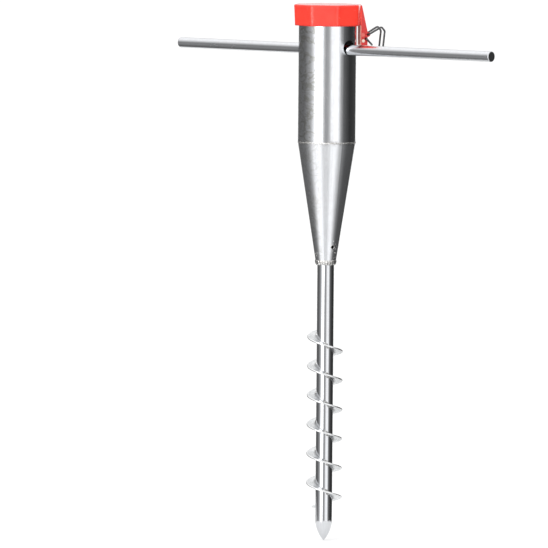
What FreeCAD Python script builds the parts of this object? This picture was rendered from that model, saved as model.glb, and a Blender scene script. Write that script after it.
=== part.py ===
import FreeCAD, Part
import math
import os
import Sketcher

# A screw-in ground spike: a steel sleeve with a long cone below it, welded to a solid shank
# that carries a left-handed auger flight. A turning bar lies in two cross holes of the sleeve,
# and an octagonal plastic cap with a wire bail closes its mouth.
# Millimetres, +Z up. The origin is the tip of the shank's point, on the spike's axis, and the
# turning bar lies along X.

SIZES = (
    ("tube_diameter", 60.3, "outside of the straight sleeve"),
    ("tube_wall", 1.5, "sheet of the sleeve and its cone"),
    ("tube_length", 140.5, "seam to rim"),
    ("rim_round", 0.4, "edge of the rim, outside"),
    ("cross_hole_play", 4.8, "cross holes wider than the turning bar"),
    ("cross_hole_depth", 41.8, "rim to the holes' centre"),
    ("seam_bevel", 0.7, "weld preparation on both sides of the seam"),
    ("seam_round", 0.9, "rounding of the seam's bead"),
    ("cone_length", 125.5, "cone foot to seam"),
    ("foot_height", 289.5, "point's tip to the cone foot"),
    ("foot_clearance", 0.15, "shank in the cone foot, each side"),
    ("drain_diameter", 3.4, "drain hole in the cone"),
    ("drain_height", 17.0, "cone foot to the drain hole"),
    ("drain_bearing", -16.0, "drain hole round the axis from the bar, degrees"),
    ("neck_rise", 3.5, "neck bead up the cone"),
    ("neck_drop", 2.4, "neck bead down the shank"),
    ("neck_round", 4.7, "rounding of the neck bead"),
    ("shank_diameter", 17.5, "solid round shank"),
    ("shank_lap", 11.0, "cone foot to the shank's top end inside the cone"),
    ("shank_chamfer", 1.2, "top end of the shank"),
    ("point_length", 22.0, "ogive point of the shank"),
    ("flight_diameter", 36.2, "auger flight across, without its rim's rounding"),
    ("flight_thickness", 1.8, "strip of the flight"),
    ("flight_rim", 1.0, "rounding across the flight's outer edge"),
    ("flight_pitch", 30.4, "rise of one turn"),
    ("flight_turns", 6.1, "turns of the flight"),
    ("flight_start", 11.0, "top of the ogive point to the flight's lower end"),
    ("flight_angle", 176.0, "bearing of the flight's lower end, degrees"),
    ("flight_clearance", 0.03, "flight to shank"),
    ("bar_diameter", 11.0, "turning bar"),
    ("bar_length", 431.0, "turning bar, end to end"),
    ("bar_round", 0.8, "edges of the bar's ends"),
    ("bar_offset", 9.0, "how far the bar is pushed to one side"),
    ("bar_gap", 0.3, "bar above the bottom of its holes"),
    ("skirt_clearance", 1.1, "sleeve to the skirt's flats, at its lower edge"),
    ("cap_draft", 2.7, "slope of the skirt, degrees"),
    ("cap_wall", 1.6, "skirt and plug of the cap"),
    ("cap_top", 2.4, "top wall of the cap"),
    ("cap_corner", 5.0, "rounding of the cap's upright corners"),
    ("cap_edge", 1.2, "rounding of the cap's top edge"),
    ("cap_gap", 0.3, "cap above the rim"),
    ("skirt_drop", 19.5, "top wall to the skirt's lower edge"),
    ("plug_clearance", 0.7, "plug inside the sleeve, each side"),
    ("plug_drop", 14.0, "top wall to the plug's lower edge"),
    ("plug_lead", 0.7, "lead-in of the plug"),
    ("lug_bearing", 57.5, "lug round the axis from the bar, degrees"),
    ("lug_width", 10.0, "lug across"),
    ("lug_clearance", 3.75, "sleeve to the lug's inner face"),
    ("lug_depth", 7.8, "lug from its inner to its outer face"),
    ("lug_drop", 40.3, "top wall to the lug's lower face"),
    ("lug_shoulder", 26.3, "top wall to where the gusset meets the lug"),
    ("gusset_reach", 1.6, "lug's inner face to the gusset's upper end"),
    ("gusset_rise", 1.2, "gusset's upper end above the top wall's underside"),
    ("lug_edge", 0.8, "rounding of the lug's edges"),
    ("ear_wall", 1.2, "ear round its bore"),
    ("ear_reach", 8.2, "lug's inner face to the ear"),
    ("ear_drop", 29.0, "top wall to the ear"),
    ("bore_play", 0.6, "bores wider than the wire"),
    ("low_bore_reach", 5.9, "lug's inner face to the lower bore"),
    ("low_bore_drop", 33.2, "top wall to the lower bore"),
    ("button_diameter", 3.6, "round button on each side of the lug"),
    ("button_height", 0.9, "button above the lug's side"),
    ("button_reach", 3.0, "lug's inner face to the button"),
    ("button_drop", 35.6, "top wall to the button"),
    ("window_width", 3.8, "recess in each side of the lug, across"),
    ("window_height", 4.6, "recess in each side of the lug, upright"),
    ("window_depth", 0.8, "recess in each side of the lug"),
    ("window_reach", 3.3, "lug's inner face to the middle of the recess"),
    ("window_drop", 29.4, "top wall to the middle of the recess"),
    ("wire_diameter", 2.0, "wire of the bail"),
    ("wire_bend", 2.0, "bends of the wire, on its centre line"),
    ("wire_gap", 1.2, "wire beside the lug"),
    ("bail_apex_reach", 13.9, "ear to the bail's apex, outward"),
    ("bail_apex_rise", 8.0, "ear to the bail's apex, upward"),
    ("bail_reach", 17.4, "ear to the bail's outermost point"),
    ("bail_shoulder_rise", 3.6, "ear to where the bail turns down, upward"),
    ("bail_drop", 15.6, "ear down to the bail's cross wire"),
    ("heel_reach", 3.6, "ear to the far leg's first bend, outward"),
    ("heel_rise", 1.6, "ear to the far leg's first bend, upward"),
    ("tail_reach", 6.3, "lower bore to the tail's end, outward"),
    ("tail_drop", 6.7, "lower bore to the tail's end, downward"),
    ("wire_stub", 8.5, "wire inside the upper bore"),
)

# Lengths that follow from the sizes, as the sheet's own words.
TUBE_R = "(Sizes.tube_diameter / 2)"
BORE_R = "(Sizes.tube_diameter / 2 - Sizes.tube_wall)"
SHANK_R = "(Sizes.shank_diameter / 2)"
SHANK_TOP = "(Sizes.foot_height + Sizes.shank_lap)"
FLIGHT_Z = "(Sizes.point_length + Sizes.flight_start)"
FOOT_R = "(Sizes.shank_diameter / 2 + Sizes.foot_clearance)"
FOOT_OUT_R = "(Sizes.shank_diameter / 2 + Sizes.foot_clearance + Sizes.tube_wall)"
CONE_SLOPE = f"(({BORE_R} - {FOOT_R}) / Sizes.cone_length)"
SEAM_Z = "(Sizes.foot_height + Sizes.cone_length)"
RIM_Z = "(Sizes.foot_height + Sizes.cone_length + Sizes.tube_length)"
HOLE_R = "(Sizes.bar_diameter / 2 + Sizes.cross_hole_play / 2)"
HOLE_Z = f"({RIM_Z} - Sizes.cross_hole_depth)"
BAR_Z = f"({HOLE_Z} - Sizes.cross_hole_play / 2 + Sizes.bar_gap)"
SEAT_Z = f"({RIM_Z} + Sizes.cap_gap)"
HOLLOW_FLAT = f"({TUBE_R} + Sizes.skirt_clearance)"
SKIRT_FLAT = f"({HOLLOW_FLAT} + Sizes.cap_wall)"
PLUG_R = f"({BORE_R} - Sizes.plug_clearance)"
LUG_IN = f"({TUBE_R} + Sizes.lug_clearance)"
LUG_OUT = f"({LUG_IN} + Sizes.lug_depth)"
EAR_AT = f"({LUG_IN} + Sizes.ear_reach)"
LOW_BORE_AT = f"({LUG_IN} + Sizes.low_bore_reach)"
BORE_HALF = "((Sizes.wire_diameter + Sizes.bore_play) / 2)"

doc = FreeCAD.newDocument("ground_spike")


def make_sheet():
    """Put the driving sizes in a sheet, one row each."""
    sheet = doc.addObject("Spreadsheet::Sheet", "Sizes")
    for row, (alias, size, meaning) in enumerate(SIZES, start=1):
        sheet.set(f"A{row}", meaning)
        sheet.set(f"B{row}", str(size))
        sheet.setAlias(f"B{row}", alias)
    doc.recompute()
    return sheet


sheet = make_sheet()


def amount(words):
    """The number that a length in the sheet's words comes to."""
    found = sheet.evalExpression(words)
    return float(getattr(found, "Value", found))


def new_body(name, height="0", bearing="0"):
    """A body of its own, at a height above the point's tip and turned about the axis."""
    body = doc.addObject("PartDesign::Body", name)
    body.Label = name
    body.setExpression("Placement.Base.z", height)
    body.setExpression("Placement.Rotation.Angle", bearing)
    return body


def new_sketch(body, role, name, offset="0"):
    """A sketch on one of the body's own planes, shifted along that plane's normal."""
    sketch = body.newObject("Sketcher::SketchObject", name)
    plane = [one for one in body.Origin.OriginFeatures if one.Role == role][0]
    sketch.AttachmentSupport = [(plane, "")]
    sketch.MapMode = "FlatFace"
    sketch.setExpression("AttachmentOffset.Base.z", offset)
    return sketch


def pin_point(sketch, curve, end, across, up):
    """Tie one end of a curve to its two lengths from the sketch's origin."""
    for kind, words, axis in (("DistanceX", across, -2), ("DistanceY", up, -1)):
        size = amount(words)
        if abs(size) < 1e-9:
            sketch.addConstraint(Sketcher.Constraint("PointOnObject", curve, end, axis))
            continue
        spot = sketch.addConstraint(Sketcher.Constraint(kind, -1, 1, curve, end, size))
        sketch.setExpression(f"Constraints[{spot}]", words)


def outline(sketch, points, arcs=()):
    """A closed outline through points given in the sheet's words.

    arcs names the sides that bulge outward, each with its number and its radius.
    """
    flat = [FreeCAD.Vector(amount(across), amount(up), 0) for across, up in points]
    centre = sum(flat, FreeCAD.Vector()) / len(flat)
    radii = dict(arcs)
    for side, start in enumerate(flat):
        following = (side + 1) % len(flat)
        end = flat[following]
        if side in radii:
            middle = bulge(start, end, amount(radii[side]), centre)
            ends = [(start, points[side]), (end, points[following])]
            if (middle - start).cross(end - middle).z < 0:
                ends.reverse()
            curve = sketch.addGeometry(Part.Arc(ends[0][0], middle, ends[1][0]))
            pin_point(sketch, curve, 1, *ends[0][1])
            pin_point(sketch, curve, 2, *ends[1][1])
            size = sketch.addConstraint(
                Sketcher.Constraint("Radius", curve, amount(radii[side])))
            sketch.setExpression(f"Constraints[{size}]", radii[side])
        else:
            curve = sketch.addGeometry(Part.LineSegment(start, end))
            pin_point(sketch, curve, 1, *points[side])
            pin_point(sketch, curve, 2, *points[following])


def bulge(start, end, radius, centre):
    """The middle of the arc between two points that bulges away from the centre."""
    chord = end - start
    rise = radius - math.sqrt(radius ** 2 - (chord.Length / 2) ** 2)
    normal = FreeCAD.Vector(chord.y, -chord.x, 0).normalize()
    middle = (start + end) / 2
    if normal.dot(middle - centre) < 0:
        normal = normal * -1
    return middle + normal * rise


def circle(sketch, across, up, radius):
    """A circle whose centre and radius follow the sheet."""
    centre = FreeCAD.Vector(amount(across), amount(up), 0)
    curve = sketch.addGeometry(Part.Circle(centre, FreeCAD.Vector(0, 0, 1), amount(radius)))
    pin_point(sketch, curve, 3, across, up)
    size = sketch.addConstraint(Sketcher.Constraint("Radius", curve, amount(radius)))
    sketch.setExpression(f"Constraints[{size}]", radius)


def revolve(body, sketch, name):
    """Turn a sketch all the way round its own upright axis."""
    turned = body.newObject("PartDesign::Revolution", name)
    turned.Profile = sketch
    turned.ReferenceAxis = (sketch, ["V_Axis"])
    turned.Angle = 360.0
    sketch.Visibility = False
    return turned


def pad(body, sketch, name, length, both=False, down=False):
    """Raise a sketch by a length, to one side or evenly to both."""
    raised = body.newObject("PartDesign::Pad", name)
    raised.Profile = sketch
    raised.setExpression("Length", length)
    raised.Midplane = both
    raised.Reversed = down
    return raised


def through_hole(body, sketch, name, length):
    """Cut a sketch evenly to both sides, and make sure that something came off."""
    doc.recompute()
    before = body.Shape.Volume
    hole = body.newObject("PartDesign::Pocket", name)
    hole.Profile = sketch
    hole.setExpression("Length", length)
    hole.Midplane = True
    doc.recompute()
    if body.Shape.Volume >= before:
        raise ValueError(f"{name} cuts nothing")
    return hole


def edges_where(shape, test):
    """The names of the edges whose two ends pass a test."""
    return [f"Edge{number}" for number, edge in enumerate(shape.Edges, start=1)
            if all(test(vertex.Point) for vertex in edge.Vertexes)]


def dress(body, kind, name, edges, **lengths):
    """Round or bevel the named edges of the body's last feature."""
    last = body.Tip
    dressed = body.newObject(f"PartDesign::{kind}", name)
    dressed.Base = (last, edges)
    for which, words in lengths.items():
        dressed.setExpression(which, words)
    doc.recompute()
    return dressed


def make_sleeve_tube():
    """The straight sleeve, with its two cross holes in line along X."""
    body = new_body("sleeve_tube", SEAM_Z)
    ring = new_sketch(body, "XZ_Plane", "tube_section")
    outline(ring, (
        (BORE_R, "0"),
        (f"{TUBE_R} - Sizes.seam_bevel", "0"),
        (TUBE_R, "Sizes.seam_bevel"),
        (TUBE_R, "Sizes.tube_length"),
        (BORE_R, "Sizes.tube_length")))
    revolve(body, ring, "tube_wall_ring")
    eye = new_sketch(body, "YZ_Plane", "cross_hole_circle")
    circle(eye, "0", "Sizes.tube_length - Sizes.cross_hole_depth", HOLE_R)
    through_hole(body, eye, "cross_holes", "Sizes.tube_diameter * 2")
    rim = amount("Sizes.tube_length")
    outside = amount(TUBE_R)
    edges = edges_where(body.Shape, lambda spot: abs(spot.z - amount(SEAM_Z) - rim) < 0.01
                        and math.hypot(spot.x, spot.y) > outside - 0.01)
    dress(body, "Fillet", "rim_rounding", edges, Radius="Sizes.rim_round")
    return body


def make_sleeve_cone():
    """The cone from the sleeve down to the shank, with one drain hole near its foot."""
    body = new_body("sleeve_cone", "Sizes.foot_height", "Sizes.drain_bearing * 1 deg")
    wall = new_sketch(body, "XZ_Plane", "cone_section")
    outline(wall, (
        (FOOT_R, "0"),
        (FOOT_OUT_R, "0"),
        (f"{TUBE_R} - Sizes.seam_bevel * {CONE_SLOPE}", "Sizes.cone_length - Sizes.seam_bevel"),
        (f"{TUBE_R} - Sizes.seam_bevel", "Sizes.cone_length"),
        (BORE_R, "Sizes.cone_length")))
    revolve(body, wall, "cone_wall")
    doc.recompute()
    drain = new_sketch(body, "YZ_Plane", "drain_circle")
    circle(drain, "0", "Sizes.drain_height", "Sizes.drain_diameter / 2")
    hole = body.newObject("PartDesign::Pocket", "drain_hole")
    hole.Profile = drain
    hole.setExpression("Length", "Sizes.tube_diameter")
    hole.Reversed = True
    return body


def make_seam_weld():
    """The bead in the groove between sleeve and cone, a little proud of both."""
    body = new_body("seam_weld", SEAM_Z)
    bead = new_sketch(body, "XZ_Plane", "seam_section")
    outline(bead, (
        (f"{TUBE_R} - Sizes.seam_bevel", "0"),
        (TUBE_R, "Sizes.seam_bevel"),
        (f"{TUBE_R} - Sizes.seam_bevel * {CONE_SLOPE}", "-Sizes.seam_bevel")),
        ((1, "Sizes.seam_round"),))
    revolve(body, bead, "seam_bead")
    return body


def make_neck_weld():
    """The thick bead round the cone foot, run out onto the shank."""
    body = new_body("neck_weld", "Sizes.foot_height")
    bead = new_sketch(body, "XZ_Plane", "neck_section")
    outline(bead, (
        (SHANK_R, "-Sizes.neck_drop"),
        (f"{FOOT_OUT_R} + Sizes.neck_rise * {CONE_SLOPE}", "Sizes.neck_rise"),
        (FOOT_OUT_R, "0"),
        (SHANK_R, "0")),
        ((0, "Sizes.neck_round"),))
    revolve(body, bead, "neck_bead")
    return body


def make_shank():
    """The solid shank, from its ogive point to its end inside the cone."""
    body = new_body("shank")
    half = new_sketch(body, "XZ_Plane", "shank_section")
    ogive = f"(({SHANK_R}^2 + Sizes.point_length^2) / (2 * {SHANK_R}))"
    outline(half, (
        ("0", "0"),
        (SHANK_R, "Sizes.point_length"),
        (SHANK_R, f"{SHANK_TOP} - Sizes.shank_chamfer"),
        (f"{SHANK_R} - Sizes.shank_chamfer", SHANK_TOP),
        ("0", SHANK_TOP)),
        ((0, ogive),))
    revolve(body, half, "shank_round")
    return body


def make_auger_flight():
    """The steel strip wound left-handed round the shank."""
    body = new_body("auger_flight", FLIGHT_Z, "Sizes.flight_angle * 1 deg")
    strip = new_sketch(body, "XZ_Plane", "strip_section")
    inner = f"{SHANK_R} + Sizes.flight_clearance"
    outer = "Sizes.flight_diameter / 2"
    outline(strip, (
        (inner, "0"),
        (outer, "0"),
        (outer, "Sizes.flight_thickness"),
        (inner, "Sizes.flight_thickness")),
        ((1, "Sizes.flight_rim"),))
    helix = body.newObject("PartDesign::AdditiveHelix", "flight_helix")
    helix.Profile = strip
    helix.ReferenceAxis = (strip, ["V_Axis"])
    helix.Mode = "pitch-turns-angle"
    helix.setExpression("Pitch", "Sizes.flight_pitch")
    helix.setExpression("Turns", "Sizes.flight_turns")
    helix.LeftHanded = True
    return body


def make_turning_bar():
    """The loose bar that lies in the cross holes, pushed a little to +X."""
    body = new_body("turning_bar", BAR_Z)
    body.setExpression("Placement.Base.x", "Sizes.bar_offset")
    end = new_sketch(body, "YZ_Plane", "bar_circle")
    circle(end, "0", "0", "Sizes.bar_diameter / 2")
    pad(body, end, "bar_round", "Sizes.bar_length", both=True)
    doc.recompute()
    rims = [f"Edge{number}" for number, edge in enumerate(body.Shape.Edges, start=1)
            if len(edge.Vertexes) == 1]
    dress(body, "Fillet", "bar_ends", rims, Radius="Sizes.bar_round")
    return body


def octagon(body, name, offset, flat):
    """A regular octagon with a corner on +X, at a height in the cap, by axis to flats."""
    sketch = new_sketch(body, "XY_Plane", name, offset)
    corners = []
    for corner in range(8):
        turn = f"{45 * corner} deg"
        corners.append((f"{flat} / cos(22.5 deg) * cos({turn})",
                        f"{flat} / cos(22.5 deg) * sin({turn})"))
    outline(sketch, corners)
    return sketch


def drafted(body, kind, name, sketch, length, draft):
    """Raise or cut a sketch upward by a length, with its sides sloped."""
    shape = body.newObject(f"PartDesign::{kind}", name)
    shape.Profile = sketch
    shape.setExpression("Length", length)
    shape.setExpression("TaperAngle", draft)
    shape.Reversed = kind == "Pocket"
    doc.recompute()
    return shape


def cap_shell(body):
    """The octagonal skirt and top wall, with rounded corners and top edge."""
    foot = octagon(body, "skirt_foot", "-Sizes.skirt_drop", SKIRT_FLAT)
    drafted(body, "Pad", "cap_block", foot, "Sizes.skirt_drop + Sizes.cap_top",
            "Sizes.cap_draft * 1 deg")
    seat = amount(SEAT_Z)
    drop = amount("Sizes.skirt_drop")
    upright = [f"Edge{number}" for number, edge in enumerate(body.Shape.Edges, start=1)
               if edge.BoundBox.ZLength > drop]
    dress(body, "Fillet", "corner_rounding", upright, Radius="Sizes.cap_corner")
    top = amount("Sizes.cap_top")
    edges = edges_where(body.Shape, lambda spot: spot.z - seat > top - 0.01)
    dress(body, "Fillet", "top_rounding", edges, Radius="Sizes.cap_edge")
    hollow = octagon(body, "hollow_foot", "-Sizes.skirt_drop", HOLLOW_FLAT)
    drafted(body, "Pocket", "cap_hollow", hollow, "Sizes.skirt_drop",
            "Sizes.cap_draft * 1 deg")


def cap_plug(body):
    """The ring under the top wall that centres the cap in the sleeve."""
    ring = new_sketch(body, "XZ_Plane", "plug_section")
    inner = f"({PLUG_R} - Sizes.cap_wall)"
    outline(ring, (
        (inner, "Sizes.cap_top / 2"),
        (inner, "-Sizes.plug_drop"),
        (f"{PLUG_R} - Sizes.plug_lead", "-Sizes.plug_drop"),
        (PLUG_R, "-Sizes.plug_drop + Sizes.plug_lead"),
        (PLUG_R, "Sizes.cap_top / 2")))
    revolve(body, ring, "plug_ring")
    doc.recompute()


def cap_lug(body):
    """The gusset and lug that hang from one corner of the skirt, beside the sleeve."""
    side = new_sketch(body, "XZ_Plane", "lug_side")
    outline(side, (
        (LUG_IN, "-Sizes.lug_drop"),
        (LUG_OUT, "-Sizes.lug_drop"),
        (LUG_OUT, "-Sizes.lug_shoulder"),
        (f"{LUG_IN} + Sizes.gusset_reach", "Sizes.gusset_rise"),
        (LUG_IN, "Sizes.gusset_rise")))
    pad(body, side, "lug_block", "Sizes.lug_width", both=True)
    doc.recompute()
    low = amount(SEAT_Z) - amount("Sizes.lug_drop")
    edges = edges_where(body.Shape, lambda spot: spot.z < low + 0.01)
    dress(body, "Fillet", "lug_rounding", edges, Radius="Sizes.lug_edge")
    ear = new_sketch(body, "XZ_Plane", "ear_circle")
    circle(ear, EAR_AT, "-Sizes.ear_drop", f"{BORE_HALF} + Sizes.ear_wall")
    pad(body, ear, "lug_ear", "Sizes.lug_width", both=True)
    button = new_sketch(body, "XZ_Plane", "button_circle")
    circle(button, f"{LUG_IN} + Sizes.button_reach", "-Sizes.button_drop",
           "Sizes.button_diameter / 2")
    pad(body, button, "lug_buttons", "Sizes.lug_width + Sizes.button_height * 2", both=True)
    bores = new_sketch(body, "XZ_Plane", "bore_circles")
    circle(bores, EAR_AT, "-Sizes.ear_drop", BORE_HALF)
    circle(bores, LOW_BORE_AT, "-Sizes.low_bore_drop", BORE_HALF)
    through_hole(body, bores, "wire_bores", "Sizes.lug_width * 2")
    for face, turned in (("near", False), ("far", True)):
        lug_window(body, face, turned)


def lug_window(body, face, turned):
    """A shallow square recess in one side of the lug."""
    depth = "-Sizes.lug_width / 2" if turned else "Sizes.lug_width / 2"
    frame = new_sketch(body, "XZ_Plane", f"window_{face}", depth)
    left = f"{LUG_IN} + Sizes.window_reach - Sizes.window_width / 2"
    right = f"{LUG_IN} + Sizes.window_reach + Sizes.window_width / 2"
    low = "-Sizes.window_drop - Sizes.window_height / 2"
    high = "-Sizes.window_drop + Sizes.window_height / 2"
    outline(frame, ((left, low), (right, low), (right, high), (left, high)))
    doc.recompute()
    before = body.Shape.Volume
    recess = body.newObject("PartDesign::Pocket", f"lug_window_{face}")
    recess.Profile = frame
    recess.setExpression("Length", "Sizes.window_depth")
    recess.Reversed = turned
    doc.recompute()
    if body.Shape.Volume >= before:
        raise ValueError(f"{face} window cuts nothing")


def make_cap():
    """The one-piece plastic cap: octagonal shell, plug, gusset, lug and ear."""
    body = new_body("cap", SEAT_Z, "Sizes.lug_bearing * 1 deg")
    cap_shell(body)
    cap_plug(body)
    cap_lug(body)
    return body


def bent_path(points, bend):
    """Straight runs joined by tangent arcs, as a wire is bent."""
    edges = []
    last = points[0]
    for before, corner, after in zip(points, points[1:], points[2:]):
        back = (before - corner).normalize()
        ahead = (after - corner).normalize()
        turn = math.pi - back.getAngle(ahead)
        trim = bend * math.tan(turn / 2)
        start = corner + back * trim
        end = corner + ahead * trim
        inward = (back + ahead).normalize()
        middle = corner + inward * (bend / math.cos(turn / 2) - bend)
        edges.append(Part.LineSegment(last, start).toShape())
        edges.append(Part.Arc(start, middle, end).toShape())
        last = end
    edges.append(Part.LineSegment(last, points[-1]).toShape())
    return Part.Wire(edges)


def bail_points():
    """The wire's route in the cap's frame: out along the lug, across, and back."""
    lug_side = amount("Sizes.lug_width / 2 + Sizes.wire_gap + Sizes.wire_diameter / 2")
    low_r, low_z = amount(LOW_BORE_AT), -amount("Sizes.low_bore_drop")
    ear_r, ear_z = amount(EAR_AT), -amount("Sizes.ear_drop")
    apex_r = ear_r + amount("Sizes.bail_apex_reach")
    apex_z = ear_z + amount("Sizes.bail_apex_rise")
    out_r = ear_r + amount("Sizes.bail_reach")
    out_z = ear_z + amount("Sizes.bail_shoulder_rise")
    foot_r = out_r - amount("Sizes.wire_diameter")
    foot_z = ear_z - amount("Sizes.bail_drop")
    tail_r = low_r + amount("Sizes.tail_reach")
    tail_z = low_z - amount("Sizes.tail_drop")
    heel_r = ear_r + amount("Sizes.heel_reach")
    heel_z = ear_z + amount("Sizes.heel_rise")
    stub = lug_side - amount("Sizes.wire_stub")
    return [FreeCAD.Vector(*spot) for spot in (
        (tail_r, -lug_side, tail_z),
        (low_r, -lug_side, low_z),
        (low_r, lug_side, low_z),
        (heel_r, lug_side, heel_z),
        (apex_r, lug_side, apex_z),
        (out_r, lug_side, out_z),
        (foot_r, lug_side, foot_z),
        (foot_r, -lug_side, foot_z),
        (out_r, -lug_side, out_z),
        (apex_r, -lug_side, apex_z),
        (ear_r, -lug_side, ear_z),
        (ear_r, -stub, ear_z))]


def make_wire_bail():
    """One length of wire, bent to a bail and sprung into the lug's two bores."""
    points = bail_points()
    path = bent_path(points, amount("Sizes.wire_bend"))
    start = points[1] - points[0]
    section = Part.Wire(Part.Circle(points[0], start, amount("Sizes.wire_diameter / 2")).toShape())
    bail = doc.addObject("Part::Feature", "wire_bail")
    bail.Label = "wire_bail"
    bail.Shape = path.makePipeShell([section], True, True)
    turn = FreeCAD.Rotation(FreeCAD.Vector(0, 0, 1), amount("Sizes.lug_bearing"))
    bail.Placement = FreeCAD.Placement(FreeCAD.Vector(0, 0, amount(SEAT_Z)), turn)
    return bail


def check_part(parts):
    """Stop if any object failed or any sub-part is not one sound solid."""
    for one in doc.Objects:
        if "Invalid" in one.State or "Error" in one.State:
            raise ValueError(f"{one.Label} failed: {one.State}")
    for part in parts:
        shape = part.Shape
        if shape.isNull() or not shape.isValid() or len(shape.Solids) != 1:
            raise ValueError(f"{part.Label} is not a sound solid")


def main():
    parts = [
        make_sleeve_tube(),
        make_sleeve_cone(),
        make_seam_weld(),
        make_neck_weld(),
        make_shank(),
        make_auger_flight(),
        make_turning_bar(),
        make_cap(),
        make_wire_bail(),
    ]
    doc.recompute()
    check_part(parts)
    os.makedirs("parts", exist_ok=True)
    for part in parts:
        part.Shape.exportStep(f"parts/{part.Label}.step")
        box = part.Shape.BoundBox
        print(f"{part.Label}: {part.Shape.Volume:.1f} mm3, z {box.ZMin:.2f} to {box.ZMax:.2f}")


main()
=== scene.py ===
# The looks of the screw-in ground spike: its finishes, weld beads, floor, light and camera.
# Metres, +Z up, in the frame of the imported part: the point's tip is the origin and the
# turning bar lies along X.
import math
import random
import bmesh
import bpy
from mathutils import Matrix, Quaternion, Vector, noise


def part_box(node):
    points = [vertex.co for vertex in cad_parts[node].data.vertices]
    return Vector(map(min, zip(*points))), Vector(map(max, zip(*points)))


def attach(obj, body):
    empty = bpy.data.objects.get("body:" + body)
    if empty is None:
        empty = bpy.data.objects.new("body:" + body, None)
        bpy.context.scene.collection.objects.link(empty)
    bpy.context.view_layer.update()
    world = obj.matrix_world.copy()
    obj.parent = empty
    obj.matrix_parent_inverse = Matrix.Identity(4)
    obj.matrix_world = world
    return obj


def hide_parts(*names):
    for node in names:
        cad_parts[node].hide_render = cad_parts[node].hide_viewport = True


MM = 0.001

# Camera, as the photograph was taken; it stands at this bearing from the upright axis
CAMERA_BEARING = math.radians(-48.0)
CAMERA_RISE = math.radians(3.8)
CAMERA_ROLL = math.radians(0.46)
CAMERA_DISTANCE = 10.0
FIELD_WIDTH = 0.5694
AIM_ACROSS = -0.0537
AIM_HEIGHT = 0.2773
SENSOR_WIDTH = 36.0

# Studio panels: how bright they are by bearing from the camera, in degrees, positive to the
# right, at the object's own height, below it and over it
RING = ((-180, 0.82), (-169, 0.75), (-158, 0.13), (-121, 0.14), (-101, 0.15), (-84, 0.28),
        (-68, 0.48), (-55, 1.0), (-48, 1.5), (-42, 4.5), (-26, 4.5), (-20, 1.2), (-16, 0.9),
        (-8, 0.36), (3, 0.42), (11, 0.6), (16, 1.2), (44, 1.4), (50, 0.9), (57, 0.4),
        (69, 0.13), (85, 0.07), (101, 0.032), (124, 0.045), (152, 0.06), (161, 1.2),
        (171, 1.2), (177, 0.85), (180, 0.82))
BELOW = ((-180, 0.55), (-175, 0.7), (-170, 1.2), (-158, 1.2), (-147, 0.13), (-112, 0.17),
         (-95, 0.22), (-82, 0.36), (-68, 0.8), (-58, 1.2), (-26, 1.2), (-18, 0.88), (3, 0.83),
         (13, 0.95), (19, 1.2), (38, 1.2), (47, 0.88), (57, 0.56), (68, 0.29), (80, 0.17),
         (91, 0.11), (110, 0.12), (130, 0.16), (147, 0.17), (158, 1.2), (172, 1.2), (177, 0.7),
         (180, 0.55))
OVER = ((-180, 1.0), (-165, 1.6), (-95, 1.6), (-60, 1.3), (60, 1.3), (110, 1.0), (180, 1.0))
PANEL_LIGHT = 4.5
SOFT_LIGHT = 1.12

# How far up or down a mirrored ray points, as the sine of its angle, where the panels below
# and over the object take over from those round it
BELOW_FADE = (-0.12, -0.32)
OVER_FADE = (0.0, 1.0)

# Where the soft lights stand from the axis, and the height on it at which they point
PANEL_STAND = 1.6
PANEL_AIM_HEIGHT = 0.3

# Floor: its half side, and how much of it the metal mirrors near the point and in a patch
# behind the spike, with the radii between which each of them fades out
FLOOR_HALF = 90.0
NEAR_FLOOR_FADE = (0.16, 0.11)
NEAR_FLOOR_SHARE = 0.9
PATCH_FADE = (0.32, 0.2)
PATCH_PLACE = (-0.26, 0.13, 0.0)
PATCH_SHARE = 0.5

# Places on the spike that the boxes of the imported parts do not tell
SLEEVE_BORE = 28.65 * MM
CONE_FOOT_RADIUS = 10.4 * MM
CONE_FOOT_HEIGHT = 289.5 * MM
DRAIN_HEIGHT = 17.0 * MM
DRAIN_BEARING = math.radians(-16)
DRAIN_RADIUS = 1.7 * MM
SPATTER_DROPS = 46
FLIGHT_PITCH = 30.4 * MM
FLIGHT_FOOT_BEARING = math.radians(176)
# Radii of the flight's painted shade at its root and painted highlight at its rim
FLIGHT_ROOT_FADE = (12.2 * MM, 9.0 * MM)
FLIGHT_RIM_FADE = (16.5 * MM, 18.4 * MM)
STAIN_BEARING = math.radians(-94)
# Places on the cap's lug where its painted shade and painted highlights fall
LUG_BEARING = math.radians(57.5)
LUG_INNER_FACE = 33.9 * MM
SKIRT_FOOT = 536.3 * MM
SKIRT_CORNER = 35.2 * MM
BUTTON_OUT = 36.9 * MM
BUTTON_HEIGHT = 520.2 * MM
BUTTON_RADIUS = 1.8 * MM
RECESS_OUT = 37.2 * MM
RECESS_HEIGHT = 526.4 * MM
RECESS_HALF = (1.9 * MM, 2.3 * MM)

# Colours, as the share of red, green and blue light that each gives back
ZINC_DULL = (0.765, 0.785, 0.81)
ZINC_BRIGHT = (0.86, 0.875, 0.90)
ZINC_CLOUD = (0.74, 0.72, 0.75)
BATH_STAIN = (0.42, 0.415, 0.36)
HEAT_TINT = (0.38, 0.36, 0.34)
# Painted shade inside the sleeve's bore
BORE_SHADE = (0.16, 0.15, 0.15)
WELD_PIT = (0.5, 0.48, 0.46)
WELD_CREST = (0.95, 0.95, 0.94)
FLIGHT_DULL = (0.66, 0.68, 0.69)
FLIGHT_BRIGHT = (0.78, 0.79, 0.80)
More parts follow.
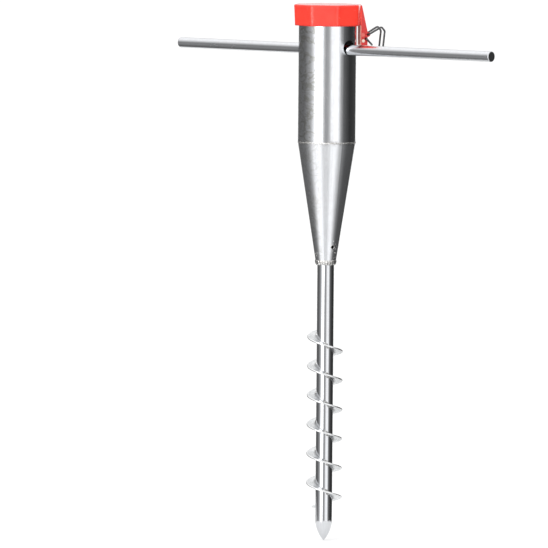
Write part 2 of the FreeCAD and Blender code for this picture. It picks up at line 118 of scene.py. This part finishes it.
# Painted shade where the flight meets the shank, and a painted highlight along its outer rim
FLIGHT_ROOT_PAINTED_SHADE = (0.3, 0.3, 0.3)
FLIGHT_RIM_PAINTED_HIGHLIGHT = (0.93, 0.93, 0.93)
WIRE_DARK = (0.07, 0.07, 0.075)
WIRE_LIGHT = (0.17, 0.17, 0.17)
RED_DEEP = (0.83, 0.032, 0.016)
RED_LIGHT = (0.93, 0.042, 0.022)
# Painted shade on the lug, and painted highlights on its button, its recess and its edge by the
# sleeve
LUG_PAINTED_SHADE = (0.66, 0.027, 0.025)
BUTTON_PAINTED_HIGHLIGHT = (0.86, 0.72, 0.62)
RECESS_PAINTED_HIGHLIGHT = (0.95, 0.33, 0.27)
EDGE_PAINTED_HIGHLIGHT = (0.98, 0.5, 0.4)
SCUFF_PALE = (0.98, 0.24, 0.19)
FLOOR_WHITE = (0.92, 0.92, 0.92)

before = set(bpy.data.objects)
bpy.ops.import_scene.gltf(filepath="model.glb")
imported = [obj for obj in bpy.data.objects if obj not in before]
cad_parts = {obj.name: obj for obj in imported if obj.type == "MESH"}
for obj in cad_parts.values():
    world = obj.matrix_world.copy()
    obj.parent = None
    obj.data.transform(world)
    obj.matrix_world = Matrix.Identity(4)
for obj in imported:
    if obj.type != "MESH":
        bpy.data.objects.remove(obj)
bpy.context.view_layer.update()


def middle_height(node):
    """The height of the middle of a node's box."""
    low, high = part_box(node)
    return (low[2] + high[2]) / 2


SEAM_HEIGHT = middle_height("seam_weld")
NECK_HEIGHT = middle_height("neck_weld")
BAR_HEIGHT = middle_height("turning_bar")


# Node trees
def add_node(tree, kind, inputs=(), **settings):
    """A shader node with its settings, and its inputs set to values or linked to sockets."""
    node = tree.nodes.new(kind)
    for name, value in settings.items():
        setattr(node, name, value)
    for name, value in dict(inputs).items():
        if isinstance(value, bpy.types.NodeSocket):
            tree.links.new(value, node.inputs[name])
        else:
            node.inputs[name].default_value = value
    return node


def maths(tree, operation, *values):
    """The result of one sum on up to three values."""
    node = add_node(tree, "ShaderNodeMath", dict(enumerate(values)), operation=operation)
    return node.outputs[0]


def spread(tree, value, low, high, to_low=0.0, to_high=1.0):
    """A value moved smoothly from one range to another, and held at its ends."""
    inputs = {0: value, 1: low, 2: high, 3: to_low, 4: to_high}
    node = add_node(tree, "ShaderNodeMapRange", inputs, interpolation_type="SMOOTHSTEP")
    return node.outputs[0]


def blend(tree, mask, *colours):
    """Two colours, plain or from sockets, mixed by a mask."""
    first, second = (colour if isinstance(colour, bpy.types.NodeSocket) else (*colour, 1.0)
                     for colour in colours)
    node = add_node(tree, "ShaderNodeMix", {0: mask, 6: first, 7: second}, data_type="RGBA")
    return node.outputs[2]


def split(tree, place):
    """The three measures of a place."""
    return add_node(tree, "ShaderNodeSeparateXYZ", {0: place}).outputs


def length(tree, across, up):
    """The length of two steps at right angles."""
    squares = [maths(tree, "MULTIPLY", step, step) for step in (across, up)]
    return maths(tree, "SQRT", maths(tree, "ADD", *squares))


def reach(tree, parts, bearing):
    """How far a place lies from the upright axis towards a bearing."""
    return maths(tree, "ADD", maths(tree, "MULTIPLY", parts[0], math.cos(bearing)),
                 maths(tree, "MULTIPLY", parts[1], math.sin(bearing)))


def patches(tree, place, scale, detail, **more):
    """Soft random patches, from 0 to 1."""
    inputs = {"Vector": place, "Scale": scale, "Detail": detail, **more}
    return add_node(tree, "ShaderNodeTexNoise", inputs).outputs[0]


def bump(tree, height, depth, under=None):
    """A normal from a height of 0 to 1 and its depth in metres."""
    inputs = {"Height": height, "Distance": depth, "Strength": 1.0}
    if under is not None:
        inputs["Normal"] = under
    return add_node(tree, "ShaderNodeBump", inputs).outputs[0]


def panel_ramp(tree, place, stops):
    """Brightness by bearing, as a share of the brightest panel."""
    node = add_node(tree, "ShaderNodeValToRGB", {0: place})
    node.color_ramp.interpolation = "LINEAR"
    elements = node.color_ramp.elements
    while len(elements) < len(stops):
        elements.new(1.0)
    for element, (bearing, level) in zip(elements, stops):
        grey = level / PANEL_LIGHT
        element.position = (bearing + 180) / 360
        element.color = (grey, grey, grey, 1.0)
    return node.outputs[0]


def new_group(name, inputs, outputs):
    """An empty node group with named outputs and inputs; one without a value is a vector."""
    tree = bpy.data.node_groups.new(name, "ShaderNodeTree")
    for label, value in inputs.items():
        kind = "NodeSocketVector" if value is None else "NodeSocketFloat"
        socket = tree.interface.new_socket(label, in_out="INPUT", socket_type=kind)
        if value is not None:
            socket.default_value = value
    for label in outputs:
        tree.interface.new_socket(label, in_out="OUTPUT", socket_type="NodeSocketFloat")
    given = tree.nodes.new("NodeGroupInput").outputs
    made = tree.nodes.new("NodeGroupOutput").inputs
    return tree, given, made


def use_group(tree, group, inputs):
    """The outputs of a node group placed in a material."""
    return add_node(tree, "ShaderNodeGroup", inputs, node_tree=group).outputs


# Effects shared by the finishes
def zinc_bloom_group():
    """Cloudy patches and fine crystals of plated steel."""
    tree, given, made = new_group("zinc_bloom", {"Place": None, "Clouds": 70.0, "Crystals": 420.0},
                                  ("Bloom", "Frost"))
    clouds = patches(tree, given["Place"], given["Clouds"], 5.0, Roughness=0.62, Distortion=1.4)
    crystals = add_node(tree, "ShaderNodeTexVoronoi", {
        "Vector": given["Place"], "Scale": given["Crystals"]}, feature="F1")
    grains = add_node(tree, "ShaderNodeSeparateColor", {0: crystals.outputs["Color"]})
    tree.links.new(spread(tree, clouds, 0.36, 0.66), made["Bloom"])
    tree.links.new(grains.outputs[0], made["Frost"])
    return tree


def drawn_lines_group():
    """Fine lines along a round piece, made when its bar or sheet was drawn."""
    tree, given, made = new_group("drawn_lines", {"Place": None, "Lines": 16.0, "Length": 3.0},
                                  ("Line", "Wave"))
    parts = split(tree, given["Place"])
    radius = length(tree, *parts[:2])
    around = [maths(tree, "DIVIDE", part, radius) for part in parts[:2]]
    along = maths(tree, "MULTIPLY", parts[2], given["Length"])
    flat = add_node(tree, "ShaderNodeCombineXYZ", {0: around[0], 1: around[1], 2: along})
    lines = patches(tree, flat.outputs[0], given["Lines"], 6.0, Roughness=0.7)
    waves = patches(tree, flat.outputs[0], 3.0, 2.0, Roughness=0.4)
    tree.links.new(lines, made["Line"])
    tree.links.new(waves, made["Wave"])
    return tree


def stain_group():
    """A dull, streaky stain down one side of a round piece, left by the plating bath."""
    tree, given, made = new_group("bath_stain", {"Place": None}, ("Stain",))
    parts = split(tree, given["Place"])
    radius = length(tree, *parts[:2])
    facing = maths(tree, "DIVIDE", reach(tree, parts, STAIN_BEARING), radius)
    side = spread(tree, facing, 0.8, 0.95)
    flat = add_node(tree, "ShaderNodeMapping", {"Vector": given["Place"], "Scale": (1, 1, 1.6)})
    spots = patches(tree, flat.outputs[0], 62.0, 5.0, Roughness=0.6, Distortion=2.4)
    broken = spread(tree, spots, 0.45, 0.6)
    tree.links.new(maths(tree, "MULTIPLY", side, broken), made["Stain"])
    return tree


def heat_band_group():
    """Dull, uneven smears where a weld has heated the sheet, round one height."""
    tree, given, made = new_group("heat_band", {"Place": None, "Height": 0.4, "Reach": 0.004},
                                  ("Smear",))
    height = split(tree, given["Place"])[2]
    away = maths(tree, "ABSOLUTE", maths(tree, "SUBTRACT", height, given["Height"]))
    share = maths(tree, "DIVIDE", away, given["Reach"])
    near = spread(tree, share, 1.0, 0.0)
    spots = patches(tree, given["Place"], 260.0, 4.0, Roughness=0.65)
    broken = spread(tree, spots, 0.38, 0.62)
    tree.links.new(maths(tree, "MULTIPLY", near, broken), made["Smear"])
    return tree


def scuff_group():
    """Sparse short scratches and rubs from handling."""
    tree, given, made = new_group("scuffs", {"Place": None, "Scratches": 190.0}, ("Scuff",))
    skewed = add_node(tree, "ShaderNodeMapping", {
        "Vector": given["Place"], "Rotation": (0.5, 0.3, 0.7), "Scale": (1.0, 0.13, 0.6)})
    marks = add_node(tree, "ShaderNodeTexVoronoi", {
        "Vector": skewed.outputs[0], "Scale": given["Scratches"]}, feature="DISTANCE_TO_EDGE")
    thin = spread(tree, marks.outputs[0], 0.02, 0.0)
    some = spread(tree, patches(tree, given["Place"], 55.0, 2.0), 0.55, 0.7)
    tree.links.new(maths(tree, "MULTIPLY", thin, some), made["Scuff"])
    return tree


BLOOM = zinc_bloom_group()
LINES = drawn_lines_group()
STAIN = stain_group()
HEAT = heat_band_group()
SCUFFS = scuff_group()


# Finishes
def new_finish(name, **fixed):
    """A material with its Principled shader and Object coordinates."""
    material = bpy.data.materials.new(name)
    material.use_nodes = True
    tree = material.node_tree
    shader = tree.nodes["Principled BSDF"]
    for label, value in fixed.items():
        shader.inputs[label.replace("_", " ")].default_value = value
    place = add_node(tree, "ShaderNodeTexCoord").outputs["Object"]
    return material, tree, shader, place


def shaded(colour, shade):
    """A colour made darker."""
    return tuple(part * shade for part in colour)


def zinc_finish(name, rough, clouds, heat_height=None, lines=16.0, axis=None, bore=None,
                stains=0.0, shade=1.0):
    """Bright zinc plating: clouds, drawn lines, scuffs, a stain and the smear beside a weld;
    painted shade darkens the inside of the bore, and the whole colour by a share.
    """
    material, tree, shader, place = new_finish(name, Metallic=1.0)
    if axis is not None:
        moved = add_node(tree, "ShaderNodeMapping", {
            "Vector": place, "Location": axis[0], "Rotation": axis[1]})
        place = moved.outputs[0]
    bloom = use_group(tree, BLOOM, {"Place": place, "Clouds": clouds})
    drawn = use_group(tree, LINES, {"Place": place, "Lines": lines})
    stain = use_group(tree, STAIN, {"Place": place})
    scuff = use_group(tree, SCUFFS, {"Place": place})
    streaks = spread(tree, drawn["Line"], 0.3, 0.7)
    # The shade share darkens both zinc colours: painted shade, for darker copies of the same
    # plating
    plated = blend(tree, streaks, shaded(ZINC_DULL, shade), shaded(ZINC_BRIGHT, shade))
    clouded = blend(tree, maths(tree, "MULTIPLY", bloom["Bloom"], 0.3), plated,
                    shaded(ZINC_CLOUD, shade))
    marked = maths(tree, "MULTIPLY", stain["Stain"], stains)
    tint = blend(tree, marked, clouded, BATH_STAIN)
    dull = maths(tree, "MULTIPLY_ADD", bloom["Bloom"], 0.05, rough)
    worn = maths(tree, "MULTIPLY_ADD", marked, 0.1, dull)
    if heat_height is not None:
        heat = use_group(tree, HEAT, {"Place": place, "Height": heat_height})
        tint = blend(tree, maths(tree, "MULTIPLY", heat["Smear"], 0.55), tint, HEAT_TINT)
        worn = maths(tree, "MULTIPLY_ADD", heat["Smear"], 0.2, worn)
    worn = maths(tree, "MULTIPLY_ADD", scuff["Scuff"], 0.15, worn)
    # Painted shade: the inside of the bore is coloured dark
    if bore is not None:
        radius = length(tree, *split(tree, place)[:2])
        inside = spread(tree, radius, bore + 0.9 * MM, bore + 0.4 * MM)
        tint = blend(tree, inside, tint, BORE_SHADE)
        worn = maths(tree, "MULTIPLY_ADD", inside, 0.3, worn)
    tree.links.new(tint, shader.inputs["Base Color"])
    tree.links.new(worn, shader.inputs["Roughness"])
    waved = bump(tree, drawn["Wave"], 0.05 * MM)
    patchy = bump(tree, bloom["Bloom"], 0.003 * MM, waved)
    rippled = bump(tree, marked, 0.016 * MM, patchy)
    lined = bump(tree, drawn["Line"], 0.002 * MM, rippled)
    tree.links.new(lined, shader.inputs["Normal"])
    return material


def weld_finish(name, pit_shade=1.0):
    """A plated weld bead: rough, with bright and dull pits."""
    material, tree, shader, place = new_finish(name, Metallic=1.0)
    bloom = use_group(tree, BLOOM, {"Place": place, "Clouds": 420.0, "Crystals": 1500.0})
    tint = blend(tree, bloom["Bloom"], shaded(WELD_PIT, pit_shade), WELD_CREST)
    tree.links.new(tint, shader.inputs["Base Color"])
    dull = maths(tree, "MULTIPLY_ADD", bloom["Frost"], 0.2, 0.16)
    tree.links.new(dull, shader.inputs["Roughness"])
    pitted = bump(tree, bloom["Bloom"], 0.12 * MM)
    tree.links.new(bump(tree, bloom["Frost"], 0.015 * MM, pitted), shader.inputs["Normal"])
    return material


def flight_finish(name):
    """Plated strip, a little frosty, dull where it was cut; painted shade darkens it where it
    meets the shank, and a painted highlight lightens its outer rim.
    """
    material, tree, shader, place = new_finish(name, Metallic=1.0)
    bloom = use_group(tree, BLOOM, {"Place": place, "Clouds": 160.0, "Crystals": 700.0})
    parts = split(tree, place)
    radius = length(tree, *parts[:2])
    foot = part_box("auger_flight")[0][2]
    wound = spread(tree, parts[2], foot + 2 * MM, foot + 6 * MM)
    root = maths(tree, "MULTIPLY", wound, spread(tree, radius, *FLIGHT_ROOT_FADE))
    # Painted highlight along the flight's outer rim
    rim_highlight = spread(tree, radius, *FLIGHT_RIM_FADE)
    plated = blend(tree, bloom["Bloom"], FLIGHT_DULL, FLIGHT_BRIGHT)
    # Painted shade where the flight meets the shank
    root_shaded = blend(tree, maths(tree, "MULTIPLY", root, 0.75), plated, FLIGHT_ROOT_PAINTED_SHADE)
    rim_lit = blend(tree, maths(tree, "MULTIPLY", rim_highlight, 0.6), root_shaded, FLIGHT_RIM_PAINTED_HIGHLIGHT)
    cut_end = spread(tree, parts[2], foot + 2.6 * MM, foot + 1.8 * MM)
    tree.links.new(spread(tree, cut_end, 0.0, 1.0, 1.0, 0.15), shader.inputs["Metallic"])
    tree.links.new(rim_lit, shader.inputs["Base Color"])
    dull = maths(tree, "MULTIPLY_ADD", bloom["Frost"], 0.12, 0.24)
    tree.links.new(maths(tree, "MULTIPLY_ADD", root, 0.15, dull), shader.inputs["Roughness"])
    frosty = bump(tree, bloom["Frost"], 0.008 * MM)
    tree.links.new(bump(tree, bloom["Bloom"], 0.05 * MM, frosty), shader.inputs["Normal"])
    return material


def wire_finish(name):
    """Spring wire, drawn and thinly plated."""
    material, tree, shader, place = new_finish(name, Metallic=1.0)
    bloom = use_group(tree, BLOOM, {"Place": place, "Clouds": 500.0, "Crystals": 1800.0})
    tint = blend(tree, bloom["Bloom"], WIRE_DARK, WIRE_LIGHT)
    tree.links.new(tint, shader.inputs["Base Color"])
    dull = maths(tree, "MULTIPLY_ADD", bloom["Frost"], 0.12, 0.26)
    tree.links.new(dull, shader.inputs["Roughness"])
    tree.links.new(bump(tree, bloom["Bloom"], 0.012 * MM), shader.inputs["Normal"])
    return material


def lug_masks(tree, place):
    """Masks of the whole lug, its round button, its recess and the edge by the sleeve; the last
    three carry only painted highlights.
    """
    parts = split(tree, place)
    out, height = reach(tree, parts, LUG_BEARING), parts[2]
    under_skirt = maths(
        tree, "MULTIPLY",
        spread(tree, out, LUG_INNER_FACE - 0.7 * MM, LUG_INNER_FACE - 0.3 * MM),
        spread(tree, height, SKIRT_FOOT, SKIRT_FOOT - 0.5 * MM))
    past_skirt = spread(tree, out, SKIRT_CORNER, SKIRT_CORNER + 0.5 * MM)
    off_button = length(tree, maths(tree, "SUBTRACT", out, BUTTON_OUT),
                        maths(tree, "SUBTRACT", height, BUTTON_HEIGHT))
    button = spread(tree, off_button, BUTTON_RADIUS, BUTTON_RADIUS - 0.25 * MM)
    aside = maths(tree, "ABSOLUTE", maths(tree, "SUBTRACT", out, RECESS_OUT))
    above = maths(tree, "ABSOLUTE", maths(tree, "SUBTRACT", height, RECESS_HEIGHT))
    recess = maths(tree, "MULTIPLY",
                   spread(tree, aside, RECESS_HALF[0], RECESS_HALF[0] - 0.3 * MM),
                   spread(tree, above, RECESS_HALF[1], RECESS_HALF[1] - 0.3 * MM))
    edge = maths(tree, "MULTIPLY", under_skirt,
                 spread(tree, out, LUG_INNER_FACE + 1.2 * MM, LUG_INNER_FACE + 0.5 * MM))
    return maths(tree, "MAXIMUM", under_skirt, past_skirt), button, recess, edge


def plastic_finish(name):
    """Glossy red moulded plastic; the lug, the mould skin and the rubs are duller; painted shade
    darkens the lug, and painted highlights pale its button, recess and sleeve-side edge.
    """
    material, tree, shader, place = new_finish(
        name, Coat_Roughness=0.08, Subsurface_Weight=0.1, Subsurface_Radius=(1.0, 0.12, 0.06),
        Subsurface_Scale=2.0 * MM)
    skin = patches(tree, place, 1900.0, 3.0, Roughness=0.6)
    flow = patches(tree, place, 45.0, 3.0, Distortion=0.8)
    scuff = use_group(tree, SCUFFS, {"Place": place, "Scratches": 120.0})["Scuff"]
    lug, button, recess, edge = lug_masks(tree, place)
    tint = blend(tree, spread(tree, flow, 0.3, 0.7), RED_DEEP, RED_LIGHT)
    # Painted shade: the lug is darker
    tint = blend(tree, lug, tint, LUG_PAINTED_SHADE)
    # Painted highlight on the lug's round button
    tint = blend(tree, button, tint, BUTTON_PAINTED_HIGHLIGHT)
    # Painted highlight: the lug's recess is paler
    tint = blend(tree, maths(tree, "MULTIPLY", recess, 0.4), tint, RECESS_PAINTED_HIGHLIGHT)
    # Painted highlight along the lug's edge by the sleeve
    tint = blend(tree, maths(tree, "MULTIPLY", edge, 0.7), tint, EDGE_PAINTED_HIGHLIGHT)
    tint = blend(tree, maths(tree, "MULTIPLY", scuff, 0.15), tint, SCUFF_PALE)
    tree.links.new(tint, shader.inputs["Base Color"])
    tree.links.new(spread(tree, lug, 1.0, 0.0, 0.0, 0.7), shader.inputs["Coat Weight"])
    dull = maths(tree, "MULTIPLY_ADD", skin, 0.08, 0.2)
    tree.links.new(maths(tree, "MULTIPLY_ADD", scuff, 0.2, dull), shader.inputs["Roughness"])
    soft = add_node(tree, "ShaderNodeBevel", {"Radius": 4.5 * MM}, samples=8).outputs[0]
    plain = add_node(tree, "ShaderNodeNewGeometry").outputs["Normal"]
    rounded = add_node(tree, "ShaderNodeMix", {0: lug, 4: soft, 5: plain}, data_type="VECTOR")
    sunk = bump(tree, flow, 0.04 * MM, rounded.outputs[1])
    tree.links.new(bump(tree, skin, 0.002 * MM, sunk), shader.inputs["Normal"])
    return material


# Studio
def studio_world():
    """Light from large soft panels round and over the object, on a white background."""
    world = bpy.data.worlds.new("studio")
    bpy.context.scene.world = world
    world.use_nodes = True
    tree = world.node_tree
    tree.nodes.clear()
    ray = add_node(tree, "ShaderNodeTexCoord").outputs["Generated"]
    parts = split(tree, ray)
    bearing = maths(tree, "ARCTAN2", parts[1], parts[0])
    turned = maths(tree, "SUBTRACT", bearing, CAMERA_BEARING)
    around = maths(tree, "WRAP", turned, math.pi, -math.pi)
    place = maths(tree, "MULTIPLY_ADD", around, 0.5 / math.pi, 0.5)
    ring, below, over = (panel_ramp(tree, place, stops) for stops in (RING, BELOW, OVER))
    side = blend(tree, spread(tree, parts[2], *BELOW_FADE), ring, below)
    panel = blend(tree, spread(tree, parts[2], *OVER_FADE), side, over)
    white = (1.0, 1.0, 1.0, 1.0)
    mirrored = add_node(tree, "ShaderNodeBackground", {"Color": panel, "Strength": PANEL_LIGHT})
    soft = add_node(tree, "ShaderNodeBackground", {"Color": white, "Strength": SOFT_LIGHT})
    plain = add_node(tree, "ShaderNodeBackground", {"Color": white})
    path = add_node(tree, "ShaderNodeLightPath").outputs
    lit = add_node(tree, "ShaderNodeMixShader", {
        0: path["Is Diffuse Ray"], 1: mirrored.outputs[0], 2: soft.outputs[0]})
    both = add_node(tree, "ShaderNodeMixShader", {
        0: path["Is Camera Ray"], 1: lit.outputs[0], 2: plain.outputs[0]})
    add_node(tree, "ShaderNodeOutputWorld", {"Surface": both.outputs[0]})


def soft_panel(name, bearing, height, size, power):
    """A soft light that shines at the object from a bearing off the camera, in degrees."""
    light = bpy.data.lights.new(name, "AREA")
    light.shape = "RECTANGLE"
    light.size, light.size_y = size
    light.energy = power
    panel = bpy.data.objects.new(name, light)
    bpy.context.collection.objects.link(panel)
    out, _, up = round_directions(CAMERA_BEARING + math.radians(bearing))
    stand = out * PANEL_STAND + up * height
    panel.location = stand
    panel.rotation_mode = "QUATERNION"
    panel.rotation_quaternion = (up * PANEL_AIM_HEIGHT - stand).to_track_quat("-Z", "Y")
    panel.visible_glossy = False


def mirrored_floor(tree, place):
    """How much of the floor the metal mirrors: near the point, and in one patch behind."""
    away = add_node(tree, "ShaderNodeVectorMath", {0: place}, operation="LENGTH").outputs["Value"]
    aside = add_node(tree, "ShaderNodeVectorMath", {0: place, 1: PATCH_PLACE},
                     operation="DISTANCE").outputs["Value"]
    near = spread(tree, away, *NEAR_FLOOR_FADE)
    patch = spread(tree, aside, *PATCH_FADE)
    return maths(tree, "MAXIMUM", maths(tree, "MULTIPLY", near, NEAR_FLOOR_SHARE),
                 maths(tree, "MULTIPLY", patch, PATCH_SHARE))


def pale_floor():
    """A plain white floor, which the metal mirrors in part."""
    bm = bmesh.new()
    bmesh.ops.create_grid(bm, x_segments=1, y_segments=1, size=FLOOR_HALF)
    floor = new_piece("floor", bm, smooth=False)
    material, tree, shader, place = new_finish(
        "floor_white", Base_Color=(*FLOOR_WHITE, 1.0), Roughness=0.9, Specular_IOR_Level=0.0)
    unseen = maths(tree, "SUBTRACT", 1.0, mirrored_floor(tree, place))
    in_mirror = add_node(tree, "ShaderNodeLightPath").outputs["Is Glossy Ray"]
    gone = add_node(tree, "ShaderNodeBsdfTransparent")
    both = add_node(tree, "ShaderNodeMixShader", {
        0: maths(tree, "MULTIPLY", unseen, in_mirror), 1: shader.outputs[0], 2: gone.outputs[0]})
    tree.links.new(both.outputs[0], tree.nodes["Material Output"].inputs["Surface"])
    floor.data.materials.append(material)


def photo_camera():
    """The camera at the photograph's bearing, height and field."""
    out, right, up = round_directions(CAMERA_BEARING)
    back = out * math.cos(CAMERA_RISE) + up * math.sin(CAMERA_RISE)
    aim = right * AIM_ACROSS + up * AIM_HEIGHT
    lens = bpy.data.cameras.new("camera")
    lens.sensor_width = SENSOR_WIDTH
    lens.lens = SENSOR_WIDTH * CAMERA_DISTANCE / FIELD_WIDTH
    lens.clip_start = 0.1
    lens.clip_end = 400.0
    camera = bpy.data.objects.new("camera", lens)
    bpy.context.collection.objects.link(camera)
    camera.location = aim + back * CAMERA_DISTANCE
    camera.rotation_mode = "QUATERNION"
    level = (-back).to_track_quat("-Z", "Y")
    camera.rotation_quaternion = level @ Quaternion((0, 0, 1), CAMERA_ROLL)
    bpy.context.scene.camera = camera


# Pieces
def new_piece(name, bm, smooth=True):
    """An object at the origin from a finished bmesh."""
    for face in bm.faces:
        face.smooth = smooth
    mesh = bpy.data.meshes.new(name)
    bm.to_mesh(mesh)
    bm.free()
    piece = bpy.data.objects.new(name, mesh)
    bpy.context.collection.objects.link(piece)
    return piece


def bead_ring(radius, height, half_width, half_height, lean, steps):
    """A closed ring of oval section round the axis, leaning by an angle from upright."""
    bm = bmesh.new()
    oval = bmesh.ops.create_circle(bm, segments=14, radius=1.0)["verts"]
    shape = (Matrix.Translation((radius, 0, height)) @ Matrix.Rotation(lean, 4, "Y")
             @ Matrix.Diagonal((half_width, 1.0, half_height, 1.0))
             @ Matrix.Rotation(math.pi / 2, 4, "X"))
    bmesh.ops.transform(bm, matrix=shape, verts=oval)
    bmesh.ops.spin(bm, geom=bm.verts[:] + bm.edges[:], cent=(0, 0, 0), axis=(0, 0, 1),
                   dvec=(0, 0, 0), angle=math.tau, steps=steps, use_merge=True)
    bmesh.ops.recalc_face_normals(bm, faces=bm.faces)
    bm.normal_update()
    return bm


def ripple(bm, ripples, depth, lump, grain):
    """Push a bead in and out: the even ripples of its passes, and uneven lumps."""
    moves = []
    for vert in bm.verts:
        turn = math.atan2(vert.co.y, vert.co.x)
        wander = noise.noise(vert.co * grain * 0.35)
        wave = math.sin(turn * ripples + wander * 3)
        rough = noise.noise(vert.co * grain)
        moves.append(vert.normal * (wave * depth + rough * lump))
    for vert, move in zip(bm.verts, moves):
        vert.co += move


def seam_bead():
    """The thin rippled bead between sleeve and cone."""
    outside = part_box("seam_weld")[1][0]
    half_width, half_height, inset = 0.52 * MM, 0.78 * MM, 0.1 * MM
    bm = bead_ring(outside - inset - half_width, SEAM_HEIGHT, half_width, half_height, 0.0, 360)
    ripple(bm, 104, 0.05 * MM, 0.11 * MM, 900)
    return new_piece("seam_bead", bm)


def neck_bead():
    """The thick lumpy bead round the cone's foot and onto the shank."""
    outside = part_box("neck_weld")[1][0]
    half_width, half_height, inset = 1.05 * MM, 2.75 * MM, 0.3 * MM
    bm = bead_ring(outside - inset - half_width, NECK_HEIGHT, half_width, half_height, 0.24, 260)
    ripple(bm, 22, 0.14 * MM, 0.42 * MM, 520)
    return new_piece("neck_bead", bm)


def blob(bm, middle, axes, sizes, lump=0.0, detail=2):
    """A rounded blob with its three half-sizes along three directions."""
    turn = Matrix([[*row, 0.0] for row in zip(*axes)] + [[0.0, 0.0, 0.0, 1.0]])
    shape = Matrix.Translation(middle) @ turn @ Matrix.Diagonal((*sizes, 1.0))
    ball = bmesh.ops.create_icosphere(bm, subdivisions=detail, radius=1.0, matrix=shape)
    for vert in ball["verts"]:
        vert.co += (vert.co - middle).normalized() * noise.noise(vert.co * 900) * lump


def round_directions(bearing):
    """Outward, along and up at a bearing round the axis."""
    out = Vector((math.cos(bearing), math.sin(bearing), 0))
    return out, Vector((-out.y, out.x, 0)), Vector((0, 0, 1))


def flight_tacks():
    """Short fillet welds that hold the flight to the shank, above and below its strip."""
    draw = random.Random(7)
    shank_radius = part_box("shank")[1][0]
    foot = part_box("auger_flight")[0][2]
    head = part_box("auger_flight")[1][2]
    climb = math.atan2(FLIGHT_PITCH, math.tau * shank_radius)
    front = CAMERA_BEARING + math.radians(15)
    bm = bmesh.new()
    turn = (FLIGHT_FOOT_BEARING - front) % math.tau
    under_strip, over_strip = -0.55 * MM, 2.35 * MM
    while foot + turn / math.tau * FLIGHT_PITCH < head - 4 * MM:
        for side, lift in ((-1, under_strip), (1, over_strip)):
            spot = turn + draw.uniform(-0.12, 0.12) + side * 0.1
            bearing = FLIGHT_FOOT_BEARING - spot
            out, along, up = round_directions(bearing)
            run = -along * math.cos(climb) + up * math.sin(climb)
            middle = out * (shank_radius + 0.35 * MM)
            middle = middle + up * (foot + spot / math.tau * FLIGHT_PITCH + lift)
            sizes = (1.15 * MM, draw.uniform(2.2, 3.4) * MM, draw.uniform(0.8, 1.2) * MM)
            blob(bm, middle, (out, run, out.cross(run)), sizes, 0.45 * MM, 3)
        turn += math.tau / 3
    return new_piece("flight_tacks", bm)


def cone_spot(bearing, rise):
    """A place on the cone's outside, by bearing and height above its foot, and its normal."""
    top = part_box("sleeve_cone")[1]
    slope = (top[0] - CONE_FOOT_RADIUS) / (top[2] - CONE_FOOT_HEIGHT)
    out, _, up = round_directions(bearing)
    place = out * (CONE_FOOT_RADIUS + slope * rise) + up * (CONE_FOOT_HEIGHT + rise)
    return place, (out - up * slope).normalized()


def weld_spatter():
    """Small drops of weld metal stuck to the cone, mostly near its foot and drain hole."""
    draw = random.Random(19)
    bm = bmesh.new()
    drain, _ = cone_spot(DRAIN_BEARING, DRAIN_HEIGHT)
    for number in range(SPATTER_DROPS):
        if number % 2:
            bearing = DRAIN_BEARING + draw.gauss(0.12, 0.22)
            rise = draw.uniform(5.0, 24.0) * MM
        else:
            bearing = draw.uniform(0, math.tau)
            rise = draw.uniform(4.5, 11.0) * MM
        place, normal = cone_spot(bearing, rise)
        if (place - drain).length < DRAIN_RADIUS * 1.6:
            continue
        size = draw.uniform(0.16, 0.42) * MM
        _, along, _ = round_directions(bearing)
        sizes = (size * 0.7, size, size * draw.uniform(0.9, 1.4))
        blob(bm, place + normal * size * 0.2, (normal, along, normal.cross(along)), sizes)
    return new_piece("weld_spatter", bm)


def drain_burr():
    """The raised edge round the punched drain hole."""
    place, normal = cone_spot(DRAIN_BEARING, DRAIN_HEIGHT)
    bm = bead_ring(DRAIN_RADIUS + 0.3 * MM, 0.0, 0.22 * MM, 0.18 * MM, 0.0, 48)
    ripple(bm, 5, 0.03 * MM, 0.06 * MM, 1400)
    turn = normal.to_track_quat("Z", "Y").to_matrix().to_4x4()
    bmesh.ops.transform(bm, matrix=Matrix.Translation(place) @ turn, verts=bm.verts)
    return new_piece("drain_burr", bm)


def on_spike(piece, finish, slot, *nodes):
    """Give a piece of the spike its finish, and hide the nodes that it stands for."""
    piece.data.materials.append(finish)
    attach(piece, "spike")
    if nodes:
        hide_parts(*nodes)


def dress_nodes(finishes):
    """Give each CAD node its finish."""
    for name, finish in finishes.items():
        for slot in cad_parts[name].material_slots:
            slot.material = finish


bpy.context.scene.view_settings.view_transform = "Standard"
studio_world()
soft_panel("left_panel", -38, 1.3, (1.0, 1.4), 5.0)
soft_panel("right_panel", 34, 1.1, (0.9, 1.2), 3.0)
pale_floor()
photo_camera()

weld = weld_finish("weld_plating")
dress_nodes({
    "sleeve_tube": zinc_finish("sleeve_zinc_plating", 0.13, 75.0, SEAM_HEIGHT, bore=SLEEVE_BORE,
                               stains=0.6),
    "sleeve_cone": zinc_finish("cone_zinc_plating", 0.14, 75.0, SEAM_HEIGHT, stains=0.25),
    "seam_weld": weld,
    "neck_weld": weld,
    # The shank and the bar get darker copies of the same zinc plating: painted shade
    "shank": zinc_finish("shank_zinc_plating", 0.08, 110.0, NECK_HEIGHT, 10.0, shade=0.86),
    "auger_flight": flight_finish("flight_zinc_plating"),
    "turning_bar": zinc_finish("bar_zinc_plating", 0.15, 120.0, lines=10.0, shade=0.84,
                               axis=((BAR_HEIGHT, 0, 0), (0, -math.pi / 2, 0))),
    "cap": plastic_finish("red_plastic"),
    "wire_bail": wire_finish("bail_spring_wire"),
})
on_spike(seam_bead(), weld, "weld_zinc", "seam_weld")
on_spike(neck_bead(), weld, "weld_zinc", "neck_weld")
on_spike(flight_tacks(), weld_finish("tack_plating", 0.4), "weld_zinc")
on_spike(weld_spatter(), weld, "weld_zinc")
on_spike(drain_burr(), weld, "weld_zinc")
